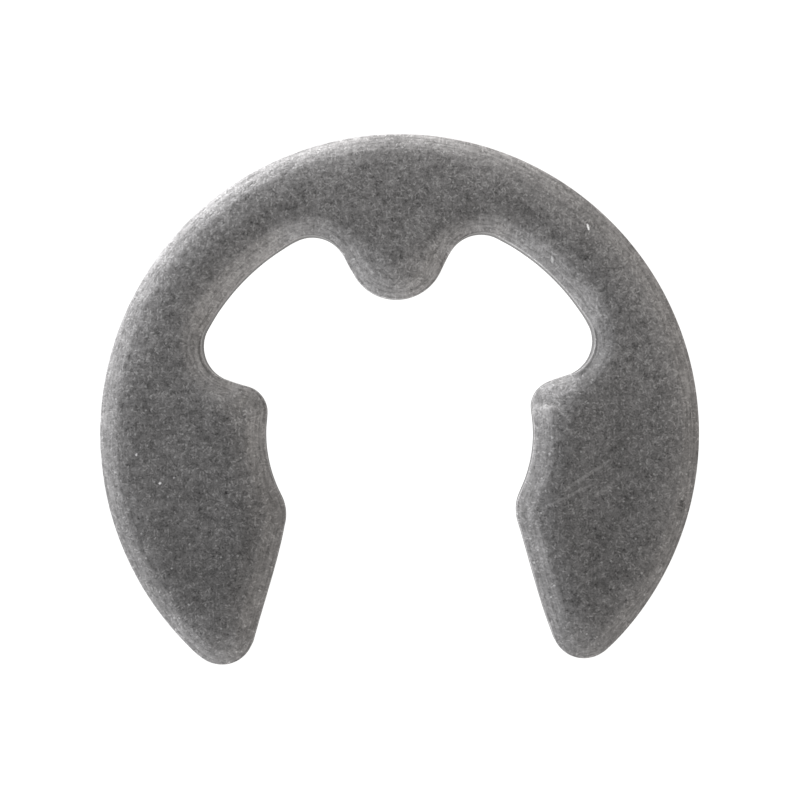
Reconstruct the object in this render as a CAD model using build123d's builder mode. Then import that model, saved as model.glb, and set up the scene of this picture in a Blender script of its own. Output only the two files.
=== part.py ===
from build123d import *
from math import cos, radians, sqrt, tan
import os

# E clip: a retaining ring of the E type for the groove of a 3/8 in shaft.
# It is one flat blank of spring steel that is pushed onto the shaft from the side. It
# bears on the bottom of the groove at three places: the nose and a land on each arm.
# Millimetres and degrees. The origin is on the shaft's axis, on the lower face; +Z is
# the shaft's axis, and the mouth opens towards -Y.

# Blank
outer_diameter = 16.76
thickness = 0.89
seat_diameter = 7.55  # the circle that the nose and both lands touch
window_depth = 2.39  # from the seat circle outwards, into the rim

# Nose, a tongue with a full round end
nose_width = 2.78
nose_flare = 27.5  # each flank, away from the Y axis

# Arms, each with a radial shoulder, a land on the seat circle and a lobe at the mouth
shoulder_angle = 18.2  # above the X axis
shoulder_radius = 0.77
lobe_radius = 1.21
mouth_gap = 6.5  # between the lobes: less than the groove, so that the ring snaps on
mouth_flare = 16.1  # each flank of the lead-in, away from the Y axis
tip_radius = 0.89

# Corners of the windows, and edges
window_corner_radius = 1.0
roll_width = 0.42  # the punch draws the upper edges down over this width
roll_depth = 0.24
roll_crown_radius = 0.8  # between the flat face and the drawn-down edge
roll_edge_radius = 0.12  # between the drawn-down edge and the sheared wall
lower_edge_radius = 0.05  # the lower edges are only tumbled

closeness = 0.0001  # how near an edge or a corner has to be when it is picked by its place

outer_radius = outer_diameter / 2
seat_radius = seat_diameter / 2
window_radius = seat_radius + window_depth
nose_radius = nose_width / 2


def corners_on(sketch, radius):
    """Corners of a sketch that lie on a circle round the shaft's axis."""
    return sketch.vertices().filter_by(lambda corner: abs(Vector(corner).length - radius) < closeness)


with BuildPart() as e_clip:
    with BuildSketch() as blank:
        Circle(outer_radius)
        Circle(seat_radius, mode=Mode.SUBTRACT)

        # Windows: the sector inside the rim, from shoulder to shoulder
        with Locations(Rotation(0, 0, shoulder_angle)):
            Circle(window_radius, arc_size=180 - 2 * shoulder_angle, align=None, mode=Mode.SUBTRACT)

        # Nose, run back into the middle of the rim
        with BuildSketch():
            with BuildLine():
                nose_center = (0, seat_radius + nose_radius)
                nose_end = CenterArc(nose_center, nose_radius, 180 + nose_flare, 180 - 2 * nose_flare)
                left_flank = PolarLine(nose_end @ 0, outer_radius, 90 + nose_flare)
                right_flank = PolarLine(nose_end @ 1, outer_radius, 90 - nose_flare)
                Line(left_flank @ 1, right_flank @ 1)
            make_face()
            Circle((window_radius + outer_radius) / 2, mode=Mode.INTERSECT)

        # Mouth: two straight flanks, each tangent to its lobe. The lobe touches the seat
        # circle from outside and stands half the gap away from the Y axis.
        lobe_x = mouth_gap / 2 + lobe_radius
        lobe_y = -sqrt((seat_radius + lobe_radius) ** 2 - lobe_x**2)
        flank_slope = tan(radians(mouth_flare))
        throat = lobe_x - lobe_radius / cos(radians(mouth_flare)) + flank_slope * lobe_y
        entry = throat + flank_slope * outer_radius
        with BuildLine():
            Polyline(
                (throat, 0),
                (entry, -outer_radius),
                (-entry, -outer_radius),
                (-throat, 0),
                close=True,
            )
        make_face(mode=Mode.SUBTRACT)

        fillet(corners_on(blank, window_radius), window_corner_radius)
        fillet(corners_on(blank, seat_radius).group_by(Axis.Y)[-1], shoulder_radius)
        fillet(corners_on(blank, seat_radius).group_by(Axis.Y)[0], lobe_radius)
        fillet(corners_on(blank, outer_radius), tip_radius)
    extrude(amount=thickness)

    # Edge roll on the upper face: a shallow bevel, blended into the face and the wall
    upper_face = e_clip.faces().sort_by(Axis.Z)[-1]
    chamfer(upper_face.edges(), roll_width, roll_depth, reference=upper_face)
    fillet(e_clip.faces().sort_by(Axis.Z)[-1].edges(), roll_crown_radius)
    roll_foot = thickness - roll_depth
    roll_edges = e_clip.edges().filter_by_position(Axis.Z, roll_foot - closeness, roll_foot + closeness)
    fillet(roll_edges, roll_edge_radius)

    fillet(e_clip.faces().sort_by(Axis.Z)[0].edges(), lower_edge_radius)

e_clip.part.label = "e_clip"

os.makedirs("parts", exist_ok=True)
export_step(e_clip.part, "parts/e_clip.step")
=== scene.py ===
import math

import bpy
import numpy as np
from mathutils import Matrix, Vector
from mathutils.geometry import delaunay_2d_cdt
from mathutils.kdtree import KDTree


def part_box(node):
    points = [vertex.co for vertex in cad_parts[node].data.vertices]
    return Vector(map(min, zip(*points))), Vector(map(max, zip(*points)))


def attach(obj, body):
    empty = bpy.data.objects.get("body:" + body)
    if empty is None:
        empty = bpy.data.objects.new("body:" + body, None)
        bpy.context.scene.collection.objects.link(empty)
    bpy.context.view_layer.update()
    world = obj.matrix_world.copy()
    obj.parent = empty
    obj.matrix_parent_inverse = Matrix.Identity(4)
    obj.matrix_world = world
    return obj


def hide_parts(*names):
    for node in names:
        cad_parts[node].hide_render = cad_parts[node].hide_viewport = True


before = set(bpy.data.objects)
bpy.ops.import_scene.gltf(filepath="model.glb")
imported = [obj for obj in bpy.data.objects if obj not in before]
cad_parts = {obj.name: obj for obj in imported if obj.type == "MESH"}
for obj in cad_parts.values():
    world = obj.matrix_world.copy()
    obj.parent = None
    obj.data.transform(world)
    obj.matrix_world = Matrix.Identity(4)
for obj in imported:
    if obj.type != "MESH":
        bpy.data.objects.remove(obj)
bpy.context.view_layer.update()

# ---- The clip --------------------------------------------------------------------------
# A retaining ring of hardened spring steel, which here lies loose and in use snaps into the groove
# of a shaft. One stroke of a press cuts it out of strip and draws its upper edge down. It is then
# hardened, and tumbled with others in abrasive, which leaves it a dull grey.

MM = 0.001

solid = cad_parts["e_clip"]
low_corner, high_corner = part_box("e_clip")
thickness = (high_corner.z - low_corner.z) / MM

# Outline: one closed line bounds the blank. It is followed round the foot of the solid's wall,
# where the wall's own normals say which way it runs.
STATION_SPACING = 0.075  # mm along the outline
HAIR = 5e-4              # mm that the outline keeps inside the solid's own
UPRIGHT = 0.02           # a wall's normal leans less than this
DECIMALS = 4             # of a millimetre, enough to tell one point from the next
CURVE_STEPS = 24         # points on the curve from one point of the wall's foot to the next
BEND_REACH = 0.26        # mm either way over which the outline's curvature is averaged


def wall_foot(part):
    """The points of the wall's foot in order, the outward normal at each, and their height, in mm."""
    mesh = part.data
    corner = np.array([loop.vertex_index for loop in mesh.loops])
    place = np.array([vertex.co for vertex in mesh.vertices])[corner] / MM
    normal = np.array([entry.vector for entry in mesh.corner_normals])
    upright = abs(normal[:, 2]) < UPRIGHT
    height = place[upright, 2].min()
    at_foot = upright & (abs(place[:, 2] - height) < 10.0 ** -DECIMALS)

    following, facing = {}, {}
    for first in np.flatnonzero(upright.reshape(-1, 3).all(axis=1)) * 3:
        for step in range(3):
            a = first + step
            b = first + (step + 1) % 3
            if at_foot[a] and at_foot[b]:
                key = tuple(np.round(place[a, :2], DECIMALS))
                following[key] = tuple(np.round(place[b, :2], DECIMALS))
                facing[key] = normal[a, :2]
    start = key = next(iter(following))
    points, normals = [], []
    while True:
        points.append(key)
        normals.append(facing[key] / np.hypot(*facing[key]))
        key = following[key]
        if key == start:
            return np.array(points), np.array(normals), height


def follow_arcs(points, normals):
    """Evenly spaced stations along the arcs that join the points square to their normals.

    The outward normal at each station comes with them, and the curvature, positive on a bulge.
    """
    tangents = np.column_stack([-normals[:, 1], normals[:, 0]])
    ends, end_tangents = np.roll(points, -1, axis=0), np.roll(tangents, -1, axis=0)
    chord = np.hypot(*(ends - points).T)
    turn = np.arccos(np.clip((tangents * end_tangents).sum(axis=1), -1, 1))

    # Each arc is drawn as a cubic curve, whose handles take their length from chord and turn
    handle = (chord / (3 * np.cos(turn / 4) ** 2))[:, None]
    p0, p3 = points[:, None], ends[:, None]
    p1 = p0 + (handle * tangents)[:, None]
    p2 = p3 - (handle * end_tangents)[:, None]
    t = np.linspace(0, 1, CURVE_STEPS, endpoint=False)[None, :, None]
    dense = (1 - t) ** 3 * p0 + 3 * t * (1 - t) ** 2 * p1 + 3 * t**2 * (1 - t) * p2 + t**3 * p3
    dense = dense.reshape(-1, 2)

    closed = np.vstack([dense, dense[:1]])
    along = np.append(0, np.cumsum(np.hypot(*np.diff(closed, axis=0).T)))
    count = round(along[-1] / STATION_SPACING)
    at = np.arange(count) * along[-1] / count
    stations = np.column_stack([np.interp(at, along, closed[:, axis]) for axis in (0, 1)])
    run = np.roll(stations, -1, axis=0) - np.roll(stations, 1, axis=0)
    run /= np.hypot(*run.T)[:, None]
    outward = np.column_stack([run[:, 1], -run[:, 0]])
    heading = np.arctan2(run[:, 1], run[:, 0])
    turned = (np.roll(heading, -1) - np.roll(heading, 1) + math.pi) % (2 * math.pi) - math.pi
    return stations - HAIR * outward, outward, turned / 2 * count / along[-1]


def smooth_round(values, reach):
    """Values along the closed outline, averaged over a bell of that reach either way, in mm."""
    offset = np.arange(len(values))
    offset = np.minimum(offset, len(values) - offset) * STATION_SPACING
    bell = np.exp(-0.5 * (offset / reach) ** 2)
    return np.fft.ifft(np.fft.fft(values) * np.fft.fft(bell / bell.sum())).real


foot_points, foot_normals, foot_height = wall_foot(solid)
outline, outward, curvature = follow_arcs(foot_points, foot_normals)
curvature = smooth_round(curvature, BEND_REACH)

# Blank: the flat piece as it is before the stroke. Its mesh runs in bands beside the outline,
# closer together towards the upper edge, with an even net over the rest of each face. All in mm.
BAND_DEPTH = 0.5      # how far in from the edge they run above
BAND_COUNT = 17
TOP_BANDS = BAND_DEPTH * np.linspace(1, 0, BAND_COUNT) ** 2
BOTTOM_BANDS = (0.15, 0.25)
TOP_NET, BOTTOM_NET = 0.11, 0.3
SAME_POINT = 1e-6     # closer together, two points of a net are one
WALL_ROWS = 12
FOOT_STEPS = 4        # in the small round under the wall, whose radius is the foot's height
ON_FACE, BELOW_WALL = 0, 2  # shares of the way down the wall that lie off it, above and below


def within(points, ring):
    """Which points lie inside the closed ring."""
    inside = np.zeros(len(points), bool)
    for start, end in zip(ring, np.roll(ring, -1, axis=0)):
        spans = (start[1] > points[:, 1]) != (end[1] > points[:, 1])
        slope = (end[0] - start[0]) / (end[1] - start[1])
        inside[spans] ^= points[spans, 0] < start[0] + (points[spans, 1] - start[1]) * slope
    return inside


def face_net(border, inset, spacing):
    """Triangles over one face within its innermost band: the net's own points, and the triangles."""
    tree = KDTree(len(outline))
    for i, point in enumerate(outline):
        tree.insert((*point, 0), i)
    tree.balance()
    low, high = border.min(axis=0), border.max(axis=0)
    rows = np.arange(low[1], high[1], spacing * math.sqrt(3) / 2)
    net = np.array([
        (x, y) for row, y in enumerate(rows)
        for x in np.arange(low[0] + (row % 2) * spacing / 2, high[0], spacing)
        if tree.find((x, y, 0))[2] > inset + spacing / 2
    ])
    net = net[within(net, border)]
    verts = np.vstack([border, net])
    edges = [(i, (i + 1) % len(border)) for i in range(len(border))]
    found = delaunay_2d_cdt([Vector(vert) for vert in verts], edges, [], 0, SAME_POINT, True)
    triangles, origins = found[2], found[3]
    source = np.array([origin[0] for origin in origins])
    triangles = source[np.array(triangles)]
    triangles = triangles[within(verts[triangles].mean(axis=1), border)]
    a, b, c = (verts[triangles[:, k]] for k in range(3))
    flip = np.cross(b - a, c - a) < 0
    triangles[flip] = triangles[flip][:, ::-1]
    return net, triangles


def store(mesh, name, kind, values):
    """Gives each point of the mesh its value, or its vector, under that name."""
    field = "vector" if kind == "FLOAT_VECTOR" else "value"
    numbers = np.asarray(values, dtype=np.float32).ravel()
    mesh.attributes.new(name, kind, "POINT").data.foreach_set(field, numbers)


def blank_mesh():
    """The flat blank, square-edged above, with each point's share of the way down the wall."""
    count = len(outline)
    rows, shares = [], []

    def add_row(inset, height, share):
        rows.append(np.column_stack([outline - inset * outward, np.full(count, height)]))
        shares.append(share)

    for inset in TOP_BANDS:
        add_row(inset, thickness, ON_FACE)
    for share in np.arange(1, WALL_ROWS + 1) / WALL_ROWS:
        add_row(0, thickness + share * (foot_height - thickness), share)
    for step in range(1, FOOT_STEPS + 1):
        turn = math.pi / 2 * step / FOOT_STEPS
        add_row(foot_height * (1 - math.cos(turn)), foot_height * (1 - math.sin(turn)), BELOW_WALL)
    for inset in BOTTOM_BANDS:
        add_row(inset, 0, BELOW_WALL)
    verts = np.vstack(rows)
    share = np.repeat(shares, count)

    near = np.arange(count)
    far = (near + 1) % count
    faces = []
    for row in range(len(rows) - 1):
        above, below = row * count, (row + 1) * count
        faces += np.column_stack([above + near, below + near, below + far, above + far]).tolist()
    last = (len(rows) - 1) * count
    for first, inset, spacing, height, side in (
        (0, TOP_BANDS[0], TOP_NET, thickness, ON_FACE),
        (last, BOTTOM_BANDS[-1], BOTTOM_NET, 0, BELOW_WALL),
    ):
        net, triangles = face_net(verts[first:first + count, :2], inset, spacing)
        number = np.where(triangles < count, triangles + first, triangles - count + len(verts))
        faces += (number if side == ON_FACE else number[:, ::-1]).tolist()
        verts = np.vstack([verts, np.column_stack([net, np.full(len(net), height)])])
        share = np.append(share, np.full(len(net), side))
    mesh = bpy.data.meshes.new("blank")
    mesh.from_pydata((verts * MM).tolist(), [], faces)
    store(mesh, "wall_share", "FLOAT", share)
    return mesh


def outline_mesh():
    """The outline as a closed chain of edges, with what the press stroke needs to know of it."""
    count = len(outline)
    flat = np.zeros(count)
    mesh = bpy.data.meshes.new("outline")
    verts = np.column_stack([outline * MM, flat]).tolist()
    mesh.from_pydata(verts, [(i, (i + 1) % count) for i in range(count)], [])
    store(mesh, "outward", "FLOAT_VECTOR", np.column_stack([outward, flat]))
    store(mesh, "bend", "FLOAT", curvature)
    store(mesh, "along", "FLOAT", np.arange(count) * STATION_SPACING)
    return mesh


blank = bpy.data.objects.new("blank", blank_mesh())
outline_guide = bpy.data.objects.new("outline", outline_mesh())
for thing in (blank, outline_guide):
    bpy.context.scene.collection.objects.link(thing)


# Steel: the tumbled skin has a fine pebbled grain, short marks, thin swirls and a few nicks. Each
# kind of mark is a group that gives a mask or a height from a place and a few sizes, all in mm.
def wire(tree, kind, inputs=None, **settings):
    """Adds a node, sets its properties and fills its inputs from values or other sockets."""
    node = tree.nodes.new(kind)
    for key, value in settings.items():
        setattr(node, key, value)
    for key, value in (inputs or {}).items():
        if isinstance(value, bpy.types.NodeSocket):
            tree.links.new(value, node.inputs[key])
        else:
            node.inputs[key].default_value = value
    return node


def maths(tree, operation, *values, clamp=False):
    """One Math node's result."""
    node = wire(tree, "ShaderNodeMath", dict(enumerate(values)), operation=operation, use_clamp=clamp)
    return node.outputs[0]


def added(tree, total, value, amount):
    """The running total with so much of the value on top."""
    return maths(tree, "MULTIPLY_ADD", value, amount, total)


def gain(tree, mask, amount):
    """A factor that is 1 where the mask is 0, and 1 plus the amount where it is 1."""
    return maths(tree, "MULTIPLY_ADD", mask, amount, 1.0)


def about_zero(tree, fraction):
    """A value between 0 and 1, moved down to lie evenly about 0."""
    return maths(tree, "SUBTRACT", fraction, 0.5)


def ramp(tree, value, low, high, out_low=0.0, out_high=1.0):
    """The value carried smoothly from one range to another."""
    sockets = {"Value": value, "From Min": low, "From Max": high, "To Min": out_low, "To Max": out_high}
    return wire(tree, "ShaderNodeMapRange", sockets, interpolation_type="SMOOTHSTEP").outputs["Result"]


def fade(tree, value, reach):
    """1 where the value is 0, falling smoothly to 0 at that reach."""
    return ramp(tree, value, 0.0, reach, 1.0, 0.0)


def mix(tree, factor, a, b):
    """A value between a, where the factor is 0, and b, where it is 1."""
    return wire(tree, "ShaderNodeMix", {0: factor, 2: a, 3: b}, data_type="FLOAT").outputs[0]


def vectors(tree, operation, *values):
    """One Vector Math node's result, which is a number where it measures and else a vector."""
    node = wire(tree, "ShaderNodeVectorMath", dict(enumerate(values)), operation=operation)
    return node.outputs["Value" if operation in ("LENGTH", "DOT_PRODUCT") else "Vector"]


def scaled(tree, vector, factor):
    """The vector or colour times the factor."""
    node = wire(tree, "ShaderNodeVectorMath", {0: vector, "Scale": factor}, operation="SCALE")
    return node.outputs["Vector"]


def axes(tree, vector):
    """The vector's three numbers."""
    return wire(tree, "ShaderNodeSeparateXYZ", {0: vector}).outputs


def noise(tree, place, pitch, **inputs):
    """A soft random value between 0 and 1, whose lumps are about one pitch apart."""
    scale = maths(tree, "DIVIDE", 1.0, pitch)
    node = wire(tree, "ShaderNodeTexNoise", {"Vector": place, "Scale": scale, **inputs})
    return node.outputs["Fac"]


def mark_group(name, *sizes):
    """An empty group that takes a place and those sizes and gives one value, with its two ends."""
    tree = bpy.data.node_groups.new(name, "ShaderNodeTree")
    tree.interface.new_socket("Place", in_out="INPUT", socket_type="NodeSocketVector")
    for label in sizes:
        tree.interface.new_socket(label, in_out="INPUT", socket_type="NodeSocketFloat")
    tree.interface.new_socket("Value", in_out="OUTPUT", socket_type="NodeSocketFloat")
    return tree, tree.nodes.new("NodeGroupInput").outputs, tree.nodes.new("NodeGroupOutput").inputs


# Grain: a fine pebbled relief with a coarser one under it
grain, taken, given = mark_group("tumbled_grain", "Fine Pitch", "Coarse Pitch", "Coarse Share")
fine = noise(grain, taken["Place"], taken["Fine Pitch"], Detail=2.0, Roughness=0.6)
coarse = noise(grain, taken["Place"], taken["Coarse Pitch"], Detail=1.0, Roughness=0.5)
grain.links.new(mix(grain, taken["Coarse Share"], fine, coarse), given["Value"])

# Marks from the abrasive: one short straight stroke in some cells of a random scatter, turned
# any way, and each as strong as chance has it. Length and width alike make a round speck or pit.
MARK_ENDS, MARK_SIDES = (0.2, 0.6), (0.1, 0.7)  # shares of length and width over which it fades

marks, taken, given = mark_group("tumbling_marks", "Pitch", "Length", "Width", "Share")
cell = wire(marks, "ShaderNodeTexVoronoi", {
    "Vector": taken["Place"], "Scale": maths(marks, "DIVIDE", 1.0, taken["Pitch"]),
}, voronoi_dimensions="2D", feature="F1")
chance = wire(marks, "ShaderNodeSeparateColor", {0: cell.outputs["Color"]}).outputs
from_middle = vectors(marks, "SUBTRACT", taken["Place"], cell.outputs["Position"])
turned = wire(marks, "ShaderNodeVectorRotate", {
    "Vector": from_middle, "Angle": maths(marks, "MULTIPLY", chance[0], math.pi),
}, rotation_type="Z_AXIS").outputs[0]
beside = axes(marks, turned)
lengthwise = maths(marks, "DIVIDE", maths(marks, "ABSOLUTE", beside[0]), taken["Length"])
crosswise = maths(marks, "DIVIDE", maths(marks, "ABSOLUTE", beside[1]), taken["Width"])
mark = maths(marks, "MULTIPLY", ramp(marks, lengthwise, *MARK_ENDS, 1.0, 0.0),
             ramp(marks, crosswise, *MARK_SIDES, 1.0, 0.0))
there = maths(marks, "LESS_THAN", chance[1], taken["Share"])
strength = maths(marks, "MULTIPLY", there, chance[2])
marks.links.new(maths(marks, "MULTIPLY", mark, strength), given["Value"])

# Swirls where a stone was dragged over the steel: thin lines that wander and close on themselves
swirls, taken, given = mark_group("tumbling_swirls", "Pitch", "Line Width")
wander = noise(swirls, taken["Place"], taken["Pitch"], Detail=1.0, Roughness=0.5, Distortion=1.2)
off_line = maths(swirls, "ABSOLUTE", about_zero(swirls, wander))
swirls.links.new(fade(swirls, off_line, taken["Line Width"]), given["Value"])


def new_material(name):
    """A material with its tree and its Principled shader."""
    material = bpy.data.materials.new(name)
    material.use_nodes = True
    tree = material.node_tree
    return material, tree, tree.nodes["Principled BSDF"]


def millimetres(tree, stretch=(1, 1, 1), offset=(0, 0, 0)):
    """The point's place on the object, in mm, stretched along an axis or moved where asked."""
    place = wire(tree, "ShaderNodeTexCoord").outputs["Object"]
    scale = tuple(s / MM for s in stretch)
    inputs = {"Vector": place, "Scale": scale, "Location": offset}
    return wire(tree, "ShaderNodeMapping", inputs).outputs["Vector"]


def marked(tree, group, place, **sizes):
    """The value of a group that is placed in that tree with its own sizes."""
    node = tree.nodes.new("ShaderNodeGroup")
    node.node_tree = group
    tree.links.new(place, node.inputs["Place"])
    for label, size in sizes.items():
        node.inputs[label.replace("_", " ").title()].default_value = size
    return node.outputs["Value"]


def attribute(tree, name):
    """A value that the press stroke leaves on the mesh."""
    return wire(tree, "ShaderNodeAttribute", attribute_name=name).outputs["Fac"]


# Face: the tumbled skin of both faces, first its random marks
FACE_COLOUR = (0.493, 0.486, 0.491)
FACE_LEVEL = 1.02
FACE_ROUGHNESS = 0.42
FACE_RELIEF = 0.008 * MM
GRAIN_GAIN = 2.5
DARK_MARK_DENT = -0.5
DARKEST = 0.12  # level under which no mark takes the steel
# darkening of the crease in a hollow corner, a painted shade
CREASE_SHADE = -0.5

face_steel, face_tree, face_shader = new_material("tumbled_face")
face_place = millimetres(face_tree)
face_relief = marked(face_tree, grain, face_place, fine_pitch=0.05, coarse_pitch=0.16, coarse_share=0.45)
bright_marks = marked(face_tree, marks, face_place, pitch=0.10, length=0.13, width=0.045, share=0.7)
dark_marks = marked(face_tree, marks, millimetres(face_tree, offset=(3, 5, 0)),
                    pitch=0.11, length=0.12, width=0.05, share=0.7)
glint_specks = marked(face_tree, marks, millimetres(face_tree, offset=(7, 2, 0)),
                pitch=0.34, length=0.06, width=0.05, share=0.35)
pits = marked(face_tree, marks, millimetres(face_tree, offset=(1, 9, 0)),
              pitch=0.24, length=0.09, width=0.08, share=0.4)
curls = marked(face_tree, swirls, face_place, pitch=0.42, line_width=0.035)
veins = marked(face_tree, swirls, millimetres(face_tree, offset=(4, 8, 0)), pitch=0.50, line_width=0.03)
pattern = maths(face_tree, "MULTIPLY", about_zero(face_tree, face_relief), GRAIN_GAIN)
# the specks are painted glints: tiny highlights carried in the colour
for mask, amount in ((curls, 0.20), (veins, -0.22), (bright_marks, 0.8), (dark_marks, -0.25),
                     (glint_specks, 3.4), (pits, -0.25)):
    pattern = added(face_tree, pattern, mask, amount)

# Streaks: on the roll the grain is weaker, and fine lines follow the edge
STREAK_LENGTH, STREAK_WIDTH = 1.1, 0.07  # mm
STREAK_GAIN = 1.1
ROLL_GRAIN = -0.4

near_edge = attribute(face_tree, "near_edge")
drawn = wire(face_tree, "ShaderNodeCombineXYZ", {
    0: maths(face_tree, "DIVIDE", attribute(face_tree, "along"), STREAK_LENGTH),
    1: maths(face_tree, "DIVIDE", attribute(face_tree, "inset"), STREAK_WIDTH),
}).outputs[0]
streak = wire(face_tree, "ShaderNodeTexNoise", {
    "Vector": drawn, "Scale": 1.0, "Detail": 2.0, "Roughness": 0.6,
}, noise_dimensions="2D").outputs["Fac"]
streak = maths(face_tree, "MULTIPLY", about_zero(face_tree, streak), near_edge)
pattern = maths(face_tree, "MULTIPLY", pattern, gain(face_tree, near_edge, ROLL_GRAIN))
level = added(face_tree, maths(face_tree, "ADD", pattern, FACE_LEVEL), streak, STREAK_GAIN)

# Nicks and drags: a few marks of the upper face can be told apart. Each is a spindle, given by
# where it lies, its bearing from +X in degrees, its half length and half width, and its strength.
# A nick is a dent whose side leans to the rim and catches the light. A drag is a long scratch.
NICKS = (
    (5.33, 5.65, 105, 0.13, 0.042, 1.0),
    (4.34, 4.78, 100, 0.12, 0.045, 0.75),
    (7.20, -3.92, 60, 0.14, 0.040, 0.75),
    (-6.66, -1.25, 20, 0.06, 0.050, 0.7),
    (-7.30, -0.45, 80, 0.06, 0.045, 0.6),
    (-6.27, -1.10, 80, 0.05, 0.040, 0.5),
)
DRAGS = (
    (5.15, -1.25, 32, 1.20, 0.070, 0.50),
    (5.70, -1.60, 38, 1.00, 0.090, 0.38),
    (4.75, -1.75, 25, 0.90, 0.060, 0.50),
    (7.82, -2.15, 80, 0.24, 0.160, -0.30),
)
NICK_PAINTED_GLINT = 1.6
NICK_LEAN = (-0.35, 0.75, 0.0)  # how far a nick's side leans, against 1 straight up

face_xyz = axes(face_tree, face_place)


def spindles(told_apart):
    """The mask of those marks on the upper face, each fading out towards its edge."""
    total = 0.0
    for x, y, bearing, half_length, half_width, strength in told_apart:
        cosine, sine = math.cos(math.radians(bearing)), math.sin(math.radians(bearing))
        from_x = maths(face_tree, "SUBTRACT", face_xyz[0], x)
        from_y = maths(face_tree, "SUBTRACT", face_xyz[1], y)
        lengthwise = added(face_tree, maths(face_tree, "MULTIPLY", from_x, cosine / half_length),
                           from_y, sine / half_length)
        crosswise = added(face_tree, maths(face_tree, "MULTIPLY", from_x, -sine / half_width),
                          from_y, cosine / half_width)
        spread = added(face_tree, maths(face_tree, "MULTIPLY", lengthwise, lengthwise),
                       crosswise, crosswise)
        total = added(face_tree, total, fade(face_tree, spread, 1.0), strength)
    on_upper_face = maths(face_tree, "GREATER_THAN", face_xyz[2], thickness / 2)
    return maths(face_tree, "MULTIPLY", total, on_upper_face)


nicked = spindles(NICKS)
# nicks are painted brighter: a painted glint on top of the lean of their sides
level = added(face_tree, level, nicked, NICK_PAINTED_GLINT)
level = maths(face_tree, "ADD", level, spindles(DRAGS))

# Wear and painted light: patches where the tumbling bit more or less; painted shade on the ends of the
# arms and painted light on the crown, a painted highlight along the rubbed edge, and the crease, a
# painted shade: a dark line that ends the roll in a hollow corner
PATCH_SIZE = 1.1  # mm
PATCH_GAIN = 0.6
ARM_END, CROWN = -5.0, 4.0  # mm along Y
ARM_PAINTED_SHADE, CROWN_PAINTED_LIGHT = 0.90, 1.15
EDGE_PAINTED_HIGHLIGHT = 0.24

patches = noise(face_tree, face_place, PATCH_SIZE, Detail=3.0, Roughness=0.6)
wear_and_painted_light = gain(face_tree, about_zero(face_tree, patches), PATCH_GAIN)
# the upper face is painted darker towards the arm ends and lighter towards the crown, painted light and
# shade for how the light falls there
wear_and_painted_light = maths(face_tree, "MULTIPLY", wear_and_painted_light,
             ramp(face_tree, face_xyz[1], ARM_END, CROWN, ARM_PAINTED_SHADE, CROWN_PAINTED_LIGHT))
# painted highlight: the steel is painted lighter near the rubbed edge
wear_and_painted_light = maths(face_tree, "MULTIPLY", wear_and_painted_light, gain(face_tree, near_edge, EDGE_PAINTED_HIGHLIGHT))
# painted shade: the crease of a hollow corner is painted darker
wear_and_painted_light = maths(face_tree, "MULTIPLY", wear_and_painted_light, gain(face_tree, attribute(face_tree, "crease"), CREASE_SHADE))
level = maths(face_tree, "MAXIMUM", maths(face_tree, "MULTIPLY", level, wear_and_painted_light), DARKEST)
face_tree.links.new(scaled(face_tree, FACE_COLOUR, level), face_shader.inputs["Base Color"])
face_shader.inputs["Metallic"].default_value = 1.0
face_shader.inputs["Roughness"].default_value = FACE_ROUGHNESS

face_height = added(face_tree, face_relief, dark_marks, DARK_MARK_DENT)
face_bump = wire(face_tree, "ShaderNodeBump", {"Height": face_height, "Distance": FACE_RELIEF})
leaning = vectors(face_tree, "ADD", face_bump.outputs["Normal"], scaled(face_tree, NICK_LEAN, nicked))
face_tree.links.new(vectors(face_tree, "NORMALIZE", leaning), face_shader.inputs["Normal"])

# Wall: a sheared land with upright streaks, and torn, duller metal below it
WALL_COLOUR = (0.481, 0.475, 0.479)
WALL_LEVEL = 0.87
WALL_CONTRAST = 1.7
WALL_RELIEF = 0.010 * MM
LAND_ROUGHNESS, TORN_ROUGHER = 0.42, 0.2
LAND_END, TORN_START = 0.28, 0.42  # shares of the way down the wall
RAGGED = 0.5                       # how far the border between them wanders with the streaks
TORN_SHADE = -0.12
UPRIGHT_STREAKS = (1, 1, 0.08)     # the grain drawn out along Z

wall_steel, wall_tree, wall_shader = new_material("sheared_wall")
torn_grain = marked(wall_tree, grain, millimetres(wall_tree),
                    fine_pitch=0.05, coarse_pitch=0.14, coarse_share=0.4)
streaks = marked(wall_tree, grain, millimetres(wall_tree, stretch=UPRIGHT_STREAKS),
                 fine_pitch=0.05, coarse_pitch=0.2, coarse_share=0.4)
border = added(wall_tree, attribute(wall_tree, "wall_share"), about_zero(wall_tree, streaks), RAGGED)
torn_part = ramp(wall_tree, border, LAND_END, TORN_START)
skin = mix(wall_tree, torn_part, streaks, torn_grain)
wall_level = maths(wall_tree, "MULTIPLY_ADD", about_zero(wall_tree, skin), WALL_CONTRAST, WALL_LEVEL)
# the torn part is duller metal; the crease is a painted shade, a dark line in a hollow corner
for mask, shade in ((torn_part, TORN_SHADE), (attribute(wall_tree, "crease"), CREASE_SHADE)):
    wall_level = maths(wall_tree, "MULTIPLY", wall_level, gain(wall_tree, mask, shade))
wall_level = maths(wall_tree, "MAXIMUM", wall_level, DARKEST)
wall_roughness = maths(wall_tree, "MULTIPLY_ADD", torn_part, TORN_ROUGHER, LAND_ROUGHNESS)
wall_bump = wire(wall_tree, "ShaderNodeBump", {"Height": skin, "Distance": WALL_RELIEF})
wall_tree.links.new(scaled(wall_tree, WALL_COLOUR, wall_level), wall_shader.inputs["Base Color"])
wall_tree.links.new(wall_roughness, wall_shader.inputs["Roughness"])
wall_tree.links.new(wall_bump.outputs["Normal"], wall_shader.inputs["Normal"])
wall_shader.inputs["Metallic"].default_value = 1.0

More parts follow.
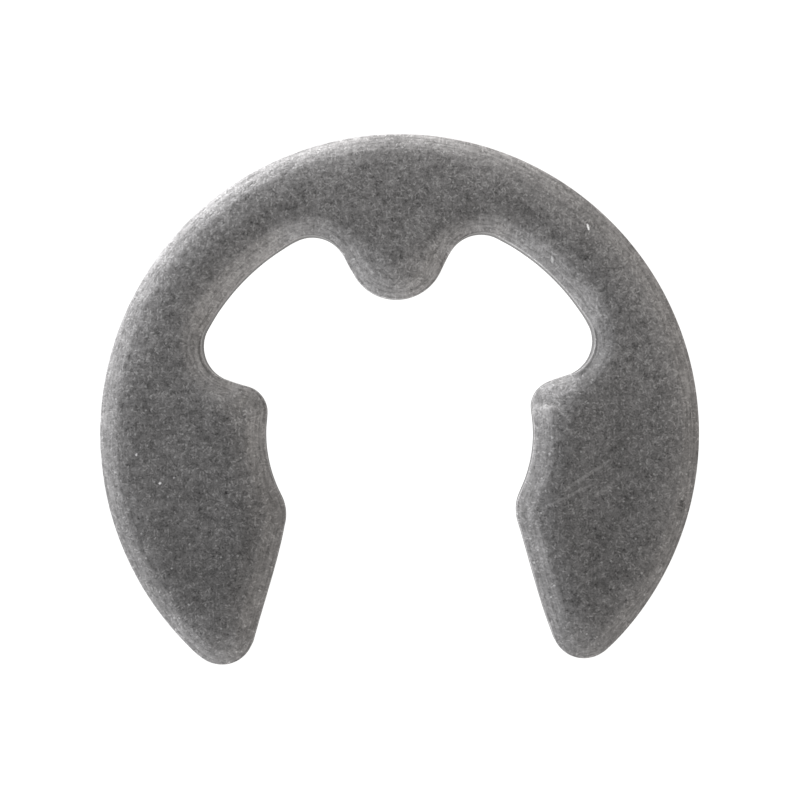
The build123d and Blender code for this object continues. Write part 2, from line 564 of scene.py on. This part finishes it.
# Press stroke: the punch draws the upper edge of the blank down before it cuts, and then cuts a
# bright land and tears the rest away. The roll is wide and deep where the outline bulges, slight
# where it is hollow, and deeper and steeper round the seat, where little metal lies behind it.
PRESS_SIZES = {
    "Thickness": thickness * MM,
    "Foot Height": foot_height * MM,
    "Roll Width": 0.96 * MM,
    "Roll Depth": 0.32 * MM,
    "Deepest Roll": 0.60 * MM,
    "Edge Radius": 0.018 * MM,
    "Rim Power": 2.0,         # of the roll's curve
    "Seat Power": 1.57,
    "Seat Reach": 5.9 * MM,   # from the shaft's axis: the roll is the seat's as far as this,
    "Rim Reach": 7.2 * MM,    # and the rim's from here on
    "Seat Gain": 0.38,        # how much deeper the roll is round the seat
    "Bulge Gain": 0.35,       # how much deeper it is on a tight bulge
    "Hollow Share": 0.51,     # how much of its depth is left in a tight hollow
    "Widening": 0.3,          # how much wider it is for each unit of curvature
    "Tear Depth": 0.008 * MM,
    "Tear Pitch": 0.35 * MM,
    "Crease Inset": 0.085 * MM,
    "Crease Width": 0.045 * MM,
    # the same reach over which the steel is painted lighter, a painted highlight
    "Rub Reach": 1.0 * MM,    # from the edge, over which the steel is rubbed and streaked
}
TIGHT_HOLLOW, TIGHT_BULGE = -1.0, 1.3  # curvature per mm
NET_START, NET_FULL = 0.3 * MM, 0.6 * MM  # from the edge, where the bands give way to the net
NET_SMOOTHING = 8  # rounds
TEAR_START, TEAR_FULL = 0.3, 0.6  # shares of the way down the wall
TEAR_REACH = 0.3 * MM  # under the lower face

press = bpy.data.node_groups.new("press_stroke", "GeometryNodeTree")
press.interface.new_socket("Geometry", in_out="OUTPUT", socket_type="NodeSocketGeometry")
press.interface.new_socket("Geometry", in_out="INPUT", socket_type="NodeSocketGeometry")
stroke_values = {}
for kind, values in (
    ("NodeSocketObject", {"Outline": outline_guide}),
    ("NodeSocketMaterial", {"Face Steel": face_steel, "Wall Steel": wall_steel}),
    ("NodeSocketFloat", PRESS_SIZES),
):
    for label, value in values.items():
        socket = press.interface.new_socket(label, in_out="INPUT", socket_type=kind)
        stroke_values[socket.identifier] = value
taken = press.nodes.new("NodeGroupInput").outputs
given = press.nodes.new("NodeGroupOutput").inputs

place = wire(press, "GeometryNodeInputPosition").outputs[0]
flat_place = vectors(press, "MULTIPLY", place, (1, 1, 0))
guide = wire(press, "GeometryNodeObjectInfo", {"Object": taken["Outline"]}).outputs["Geometry"]
nearest = wire(press, "GeometryNodeProximity", {
    "Geometry": guide, "Sample Position": flat_place,
}, target_element="EDGES").outputs
inset = nearest["Distance"]
station = wire(press, "GeometryNodeSampleNearest", {
    "Geometry": guide, "Sample Position": flat_place,
}, domain="POINT").outputs["Index"]


def at_station(name, kind):
    """The outline's attribute at the station nearest to each point."""
    field = wire(press, "GeometryNodeInputNamedAttribute", {"Name": name}, data_type=kind)
    inputs = {"Geometry": guide, "Value": field.outputs["Attribute"], "Index": station}
    return wire(press, "GeometryNodeSampleIndex", inputs, data_type=kind, domain="POINT").outputs["Value"]


def nearness(width):
    """1 at the edge, falling evenly to 0 at that distance from it."""
    return maths(press, "SUBTRACT", 1.0, maths(press, "DIVIDE", inset, width), clamp=True)


def moved(geometry, **inputs):
    """The geometry with its points, or a selection of them, set in place or shifted."""
    inputs = {label.title(): value for label, value in inputs.items()}
    return wire(press, "GeometryNodeSetPosition", {"Geometry": geometry, **inputs}).outputs[0]


bend = at_station("bend", "FLOAT")
facing = at_station("outward", "FLOAT_VECTOR")
share = wire(press, "GeometryNodeInputNamedAttribute", {"Name": "wall_share"},
             data_type="FLOAT").outputs["Attribute"]

# Roll: a power curve from the flat face down to the edge, then a small round into the wall
from_axis = vectors(press, "LENGTH", nearest["Position"])
seatward = ramp(press, from_axis, taken["Seat Reach"], taken["Rim Reach"], 1.0, 0.0)
hollow = ramp(press, bend, TIGHT_HOLLOW, 0.0, taken["Hollow Share"], 1.0)
bulge = ramp(press, bend, 0.0, TIGHT_BULGE)
roll_width = maths(press, "MULTIPLY", taken["Roll Width"], gain(press, bend, taken["Widening"]))
roll_depth = maths(press, "MULTIPLY", taken["Roll Depth"], hollow)
roll_depth = maths(press, "MULTIPLY", roll_depth, gain(press, bulge, taken["Bulge Gain"]))
roll_depth = maths(press, "MULTIPLY", roll_depth, gain(press, seatward, taken["Seat Gain"]))
roll_depth = maths(press, "MINIMUM", roll_depth, taken["Deepest Roll"])
roll_power = mix(press, seatward, taken["Rim Power"], taken["Seat Power"])
rolled = maths(press, "MULTIPLY", roll_depth, maths(press, "POWER", nearness(roll_width), roll_power))
round_square = maths(press, "POWER", nearness(taken["Edge Radius"]), 2.0)
round_left = maths(press, "SQRT", maths(press, "SUBTRACT", 1.0, round_square))
rounded = maths(press, "MULTIPLY", taken["Edge Radius"], maths(press, "SUBTRACT", 1.0, round_left))
drop = wire(press, "GeometryNodeBlurAttribute", {
    "Value": maths(press, "ADD", rolled, rounded),
    "Iterations": NET_SMOOTHING,
    "Weight": ramp(press, inset, NET_START, NET_FULL),
}, data_type="FLOAT").outputs["Value"]
upper = maths(press, "SUBTRACT", taken["Thickness"], drop)
across = axes(press, place)
new_place = wire(press, "ShaderNodeCombineXYZ", {
    0: across[0], 1: across[1], 2: mix(press, share, upper, taken["Foot Height"]),
}).outputs[0]
above_foot = wire(press, "FunctionNodeCompare", {0: share, 1: (1 + BELOW_WALL) / 2},
                  data_type="FLOAT", operation="LESS_THAN").outputs[0]
clip_stage = moved(taken["Geometry"], selection=above_foot, position=new_place)

# Tear: below the bright land the wall is torn back a little, unevenly
torn = ramp(press, share, TEAR_START, TEAR_FULL)
rag = noise(press, flat_place, taken["Tear Pitch"], Detail=3.0)
recess = maths(press, "MULTIPLY", maths(press, "MULTIPLY", rag, torn), taken["Tear Depth"])
recess = maths(press, "MULTIPLY", recess, ramp(press, inset, 0.0, TEAR_REACH, -1.0, 0.0))
clip_stage = moved(clip_stage, offset=scaled(press, facing, recess))

# Crease shade: in a hollow corner, a line at the edge, or a little way in from it where the corner faces
# away from the mouth, is marked for the materials to paint darker, a painted shade
BACK_FACING = (-0.9, 1.0)  # the outward normal's share of +Y, from the least inset to the most
corner = ramp(press, bend, TIGHT_HOLLOW, TIGHT_HOLLOW / 2, 1.0, 0.0)
crease_inset = ramp(press, axes(press, facing)[1], *BACK_FACING, 0.0, taken["Crease Inset"])
down_wall = maths(press, "MULTIPLY", share, taken["Thickness"])
from_crease = maths(press, "SUBTRACT", maths(press, "SUBTRACT", inset, down_wall), crease_inset)
shaded_line = fade(press, maths(press, "ABSOLUTE", from_crease), taken["Crease Width"])

# What the two materials read, and then the materials themselves
WALL_START = 0.02  # share of the way down past which a face of the mesh is wall

for label, value in (("crease", maths(press, "MULTIPLY", corner, shaded_line)),
                     ("near_edge", fade(press, inset, taken["Rub Reach"])),
                     ("inset", maths(press, "DIVIDE", inset, MM)),
                     ("along", at_station("along", "FLOAT"))):
    clip_stage = wire(press, "GeometryNodeStoreNamedAttribute", {
        "Geometry": clip_stage, "Name": label, "Value": value,
    }, data_type="FLOAT", domain="POINT").outputs[0]
below_face = wire(press, "FunctionNodeCompare", {0: share, 1: WALL_START},
                  data_type="FLOAT", operation="GREATER_THAN").outputs[0]
on_wall = wire(press, "FunctionNodeBooleanMath", {
    0: below_face, 1: above_foot,
}, operation="AND").outputs[0]
clip_stage = wire(press, "GeometryNodeSetShadeSmooth", {"Geometry": clip_stage}).outputs[0]
clip_stage = wire(press, "GeometryNodeRealizeInstances", {"Geometry": clip_stage}).outputs[0]
clip_stage = wire(press, "GeometryNodeSetMaterial", {
    "Geometry": clip_stage, "Material": taken["Face Steel"],
}).outputs[0]
clip_stage = wire(press, "GeometryNodeSetMaterial", {
    "Geometry": clip_stage, "Selection": on_wall, "Material": taken["Wall Steel"],
}).outputs[0]
press.links.new(clip_stage, given[0])

stroke = blank.modifiers.new("press_stroke", "NODES")
stroke.node_group = press
for identifier, value in stroke_values.items():
    stroke[identifier] = value

bpy.context.view_layer.update()
pressed = bpy.data.meshes.new_from_object(blank.evaluated_get(bpy.context.evaluated_depsgraph_get()))
clip = bpy.data.objects.new("spring_clip", pressed)
bpy.context.scene.collection.objects.link(clip)
for thing in (blank, outline_guide):
    bpy.data.objects.remove(thing)
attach(clip, "root")
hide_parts("e_clip")

# ---- Table and room ----------------------------------------------------------------------
# A plain white painted table in a pale room. The paint glows evenly, and the steel doesn't mirror
# it. What the steel mirrors is the room, whose upper half has soft round panels, and whose lower
# half shows in the clip's wall.

TABLE_HALF = 0.6  # m
TABLE_GAP = 0.02 * MM
TABLE_COLOUR = (0.9, 0.9, 0.9, 1)
TABLE_ROUGHNESS = 0.9
TABLE_GLOW = 0.9

table_paint, _, table_shader = new_material("white_table")
table_shader.inputs["Base Color"].default_value = TABLE_COLOUR
table_shader.inputs["Roughness"].default_value = TABLE_ROUGHNESS
table_shader.inputs["Emission Color"].default_value = (1, 1, 1, 1)
table_shader.inputs["Emission Strength"].default_value = TABLE_GLOW
table_mesh = bpy.data.meshes.new("table")
table_corners = [
    (x * TABLE_HALF, y * TABLE_HALF, -TABLE_GAP) for x, y in ((-1, -1), (1, -1), (1, 1), (-1, 1))
]
table_mesh.from_pydata(table_corners, [], [(0, 1, 2, 3)])
table_mesh.materials.append(table_paint)
table = bpy.data.objects.new("table", table_mesh)
bpy.context.scene.collection.objects.link(table)
table.visible_glossy = False

# Room: a panel is given by the azimuth from +X and the elevation of its middle, the angle from
# there at which it fades out, all in degrees, and its radiance. Only the upper half shows panels.
PANELS = (
    (130, -33, 70, 2.52),   # two strong ones side by side, behind on the left
    (103, -33, 72, 2.58),
    (176, -5, 102, 0.21),   # a broad faint one on the left
    (277, 50, 45, 0.30),    # and three faint ones in front
    (246, 15, 96, 0.18),
    (212, 52, 30, 0.12),
)
CEILING = 0.281                    # radiance of the upper half behind them
DARK_PATCH = (256, 61)             # azimuth and elevation of a dark patch in it
DARK_START, DARK_END = 33.0, 42.0  # degrees from there, between which it gives way
HALVES_BLEND = 0.11                # sine of the elevation up to which the halves blend, either way
LOWER_MIDDLE, LOWER_SLOPE = 0.75, -0.47  # radiance of the lower half, and its change towards +X
WARM_MIDDLE, WARM_SLOPE = 0.3, 0.7       # share of the warm tint, and its change towards +X
WARM_TINT = (1, 0.955, 0.900, 1)

world = bpy.data.worlds.new("studio")
bpy.context.scene.world = world
world.use_nodes = True
room = world.node_tree
toward = wire(room, "ShaderNodeTexCoord").outputs["Generated"]


def angle_from(azimuth, elevation):
    """The angle in degrees between each way out of the clip and that direction."""
    around, up = math.radians(azimuth), math.radians(elevation)
    axis = (math.cos(around) * math.cos(up), math.sin(around) * math.cos(up), math.sin(up))
    cosine = vectors(room, "DOT_PRODUCT", toward, axis)
    return maths(room, "MULTIPLY", maths(room, "ARCCOSINE", cosine), 180 / math.pi)


upper_room = ramp(room, angle_from(*DARK_PATCH), DARK_START, DARK_END, 0.0, CEILING)
for azimuth, elevation, reach, radiance in PANELS:
    panel = ramp(room, angle_from(azimuth, elevation), 0.0, reach, radiance, 0.0)
    upper_room = maths(room, "ADD", upper_room, panel)
way = axes(room, toward)
lower_room = maths(room, "MULTIPLY_ADD", way[0], LOWER_SLOPE, LOWER_MIDDLE)
all_round = mix(room, ramp(room, way[2], -HALVES_BLEND, HALVES_BLEND), lower_room, upper_room)
seen = wire(room, "ShaderNodeLightPath").outputs["Is Camera Ray"]
background = room.nodes["Background"].inputs
room.links.new(mix(room, seen, all_round, 1.0), background["Strength"])
warm_side = maths(room, "MULTIPLY_ADD", way[0], WARM_SLOPE, WARM_MIDDLE, clamp=True)
warm_side = maths(room, "MULTIPLY", warm_side, maths(room, "SUBTRACT", 1.0, seen))
tint = wire(room, "ShaderNodeMix", {0: warm_side, 6: (1, 1, 1, 1), 7: WARM_TINT}, data_type="RGBA")
room.links.new(tint.outputs[2], background["Color"])

# ---- Camera ------------------------------------------------------------------------------
# It looks straight down on the clip, which lies turned by a degree in its picture. It stands
# close, so that the clip's inner walls show beside its upper face.

CAMERA_HEIGHT = 34.63  # mm above the upper face
CAMERA_X, CAMERA_Y = 0.029, 0.940  # mm from the shaft's axis
CAMERA_TURN = -1.0  # degrees
FOCAL_LENGTH, SENSOR_WIDTH = 56.25, 36.0

lens = bpy.data.cameras.new("camera")
lens.sensor_width = SENSOR_WIDTH
lens.lens = FOCAL_LENGTH
lens.clip_start = 1 * MM
camera = bpy.data.objects.new("camera", lens)
camera.location = (CAMERA_X * MM, CAMERA_Y * MM, high_corner.z + CAMERA_HEIGHT * MM)
camera.rotation_euler = (0, 0, math.radians(CAMERA_TURN))
bpy.context.scene.collection.objects.link(camera)
bpy.context.scene.camera = camera
bpy.context.scene.view_settings.view_transform = "Standard"
